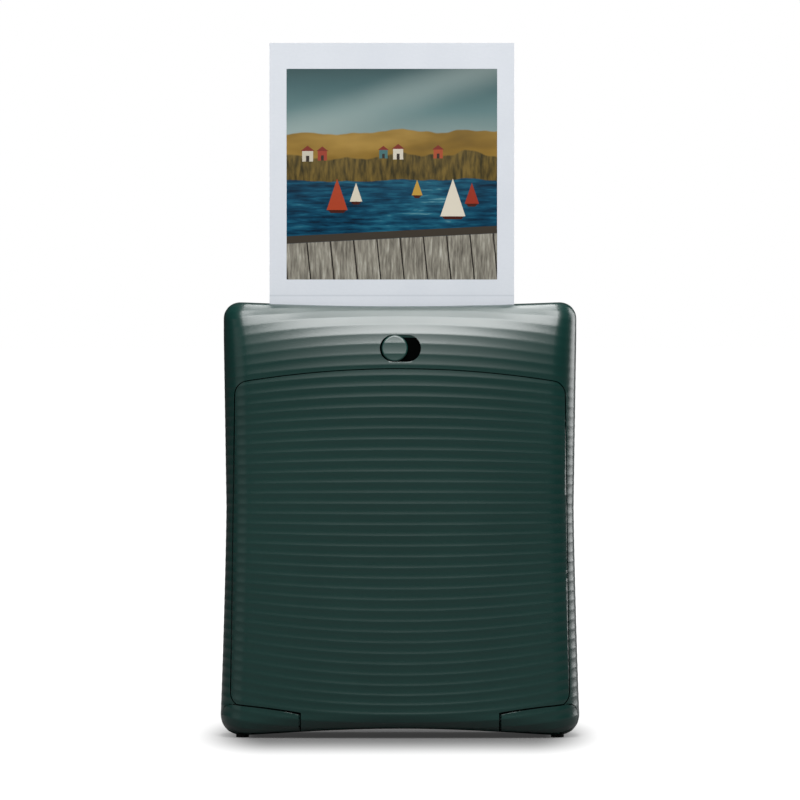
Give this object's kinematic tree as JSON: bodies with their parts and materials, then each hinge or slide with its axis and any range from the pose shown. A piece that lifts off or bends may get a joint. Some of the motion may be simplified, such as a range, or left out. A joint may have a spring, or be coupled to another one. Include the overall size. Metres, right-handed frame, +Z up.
{
  "type": "compact photo printer",
  "caption": "Upright pocket photo printer with fluted green body, hinged film door with sliding latch, and a square print in its top slot.",
  "frame": {"origin": "on the table, under the middle of the body", "axes": "+Z up, the film door faces -Y, +X to the right when the door is looked at"},
  "size_m": [0.1054, 0.0344, 0.2041],
  "materials": {
    "shell_green": "fine matt moulding, dark green, fluted all round",
    "black_trim": "matt black moulding",
    "rubber_feet": "small dark feet",
    "black_frame": "black moulding, fine spark-eroded texture",
    "seal_foam": "soft black light seal",
    "steel_parts": "plain sheet steel and turned steel",
    "cassette_black": "black moulding",
    "print_white": "pale sheet, slightly wrinkled gloss",
    "print_picture": "glossy picture area",
    "print_black": "black back of the sheet",
    "gear_white": "natural white gear plastic",
    "lens_clear": "clear lens strip",
    "flex_amber": "amber flat cable",
    "board_green": "green lacquered board",
    "chip_black": "black component bodies",
    "battery_silver": "silver foil",
    "ring_clear": "milky light guide",
    "knob_green": "matt dark green moulding",
    "roller_rubber": "grey rubber sleeve",
    "pinion_brass": "turned brass"
  },
  "bodies": {
    "root": {"back_case": "shell_green", "front_case": "shell_green", "slot_bezel": "black_trim", "feet": "rubber_feet", "film_chamber": "black_frame", "chamber_seal": "seal_foam", "frame_screws": "steel_parts", "cassette_shell": "cassette_black", "cassette_cover": "cassette_black", "film_stack": "print_white", "roller_bracket_left": "black_frame", "roller_bracket_right": "black_frame", "roller_bushes": "gear_white", "motor_can": "steel_parts", "gear_plate": "black_frame", "gear_axles": "steel_parts", "exposure_head": "black_frame", "rod_lens_strip": "lens_clear", "head_flex_cable": "flex_amber", "main_board": "board_green", "shield_can": "steel_parts", "board_chips": "chip_black", "battery_cell": "battery_silver", "battery_tray": "black_frame", "side_boards": "board_green", "tact_switches": "chip_black", "usb_socket": "steel_parts", "light_ring": "ring_clear", "hinge_pins": "steel_parts", "latch_guide": "black_frame", "latch_spring": "steel_parts"},
    "door": {"film_door": "shell_green", "door_liner": "black_frame", "pressure_springs": "steel_parts"},
    "latch": {"latch_slider": "knob_green"},
    "power": {"power_button": "knob_green"},
    "side_key": {"side_button": "knob_green"},
    "print": {"print_sheet": "print_white", "print_image": "print_picture", "print_back": "print_black"},
    "drive": {"drive_roller": "roller_rubber", "roller_gear": "gear_white"},
    "press": {"pressure_roller": "steel_parts"},
    "second": {"second_gear": "gear_white"},
    "first": {"first_gear": "gear_white"},
    "motor": {"motor_pinion": "pinion_brass", "motor_shaft": "steel_parts"},
    "claw": {"film_claw": "steel_parts"}
  },
  "joints": [
    {"name": "door_hinge", "type": "hinge", "parent": "root", "child": "door", "pos_m": [0, -0.013, 0.0054], "axis": [1, 0, 0], "range_deg": [0, 90]},
    {"name": "latch_slide", "type": "slide", "parent": "root", "child": "latch", "axis": [1, 0, 0], "range_m": [0, 0.0035], "stiffness_N_per_m": 120, "springref_m": -0.001, "deforming": ["latch_spring"]},
    {"name": "power_press", "type": "slide", "parent": "root", "child": "power", "axis": [0, -1, 0], "range_m": [0, 0.0008], "stiffness_N_per_m": 900, "springref_m": -0.0004},
    {"name": "side_press", "type": "slide", "parent": "root", "child": "side_key", "axis": [-1, 0, 0], "range_m": [0, 0.0006], "stiffness_N_per_m": 900, "springref_m": -0.0004},
    {"name": "print_slide", "type": "slide", "parent": "root", "child": "print", "axis": [0, 0, 1], "range_m": [-0.105, 0.008]},
    {"name": "drive_turn", "type": "hinge", "parent": "root", "child": "drive", "pos_m": [0, 0.00107, 0.1195], "axis": [1, 0, 0], "continuous": true},
    {"name": "press_turn", "type": "hinge", "parent": "root", "child": "press", "pos_m": [0, -0.00547, 0.1195], "axis": [1, 0, 0], "continuous": true},
    {"name": "second_turn", "type": "hinge", "parent": "root", "child": "second", "pos_m": [0.043, 0.00621, 0.11337], "axis": [1, 0, 0], "continuous": true},
    {"name": "first_turn", "type": "hinge", "parent": "root", "child": "first", "pos_m": [0.043, 0.00496, 0.10628], "axis": [1, 0, 0], "continuous": true},
    {"name": "motor_turn", "type": "hinge", "parent": "root", "child": "motor", "pos_m": [0.043, 0.00824, 0.09855], "axis": [1, 0, 0], "continuous": true},
    {"name": "claw_slide", "type": "slide", "parent": "root", "child": "claw", "axis": [0, 0, 1], "range_m": [0, 0.006], "stiffness_N_per_m": 40, "springref_m": -0.002}
  ],
  "couplings": [
    {"joint": "drive_turn", "follows": "print_slide", "rad_per_m": -333.33},
    {"joint": "press_turn", "follows": "print_slide", "rad_per_m": 333.33},
    {"joint": "second_turn", "follows": "print_slide", "rad_per_m": 222.22},
    {"joint": "first_turn", "follows": "print_slide", "rad_per_m": -444.44},
    {"joint": "motor_turn", "follows": "print_slide", "rad_per_m": 1111.1}
  ]
}
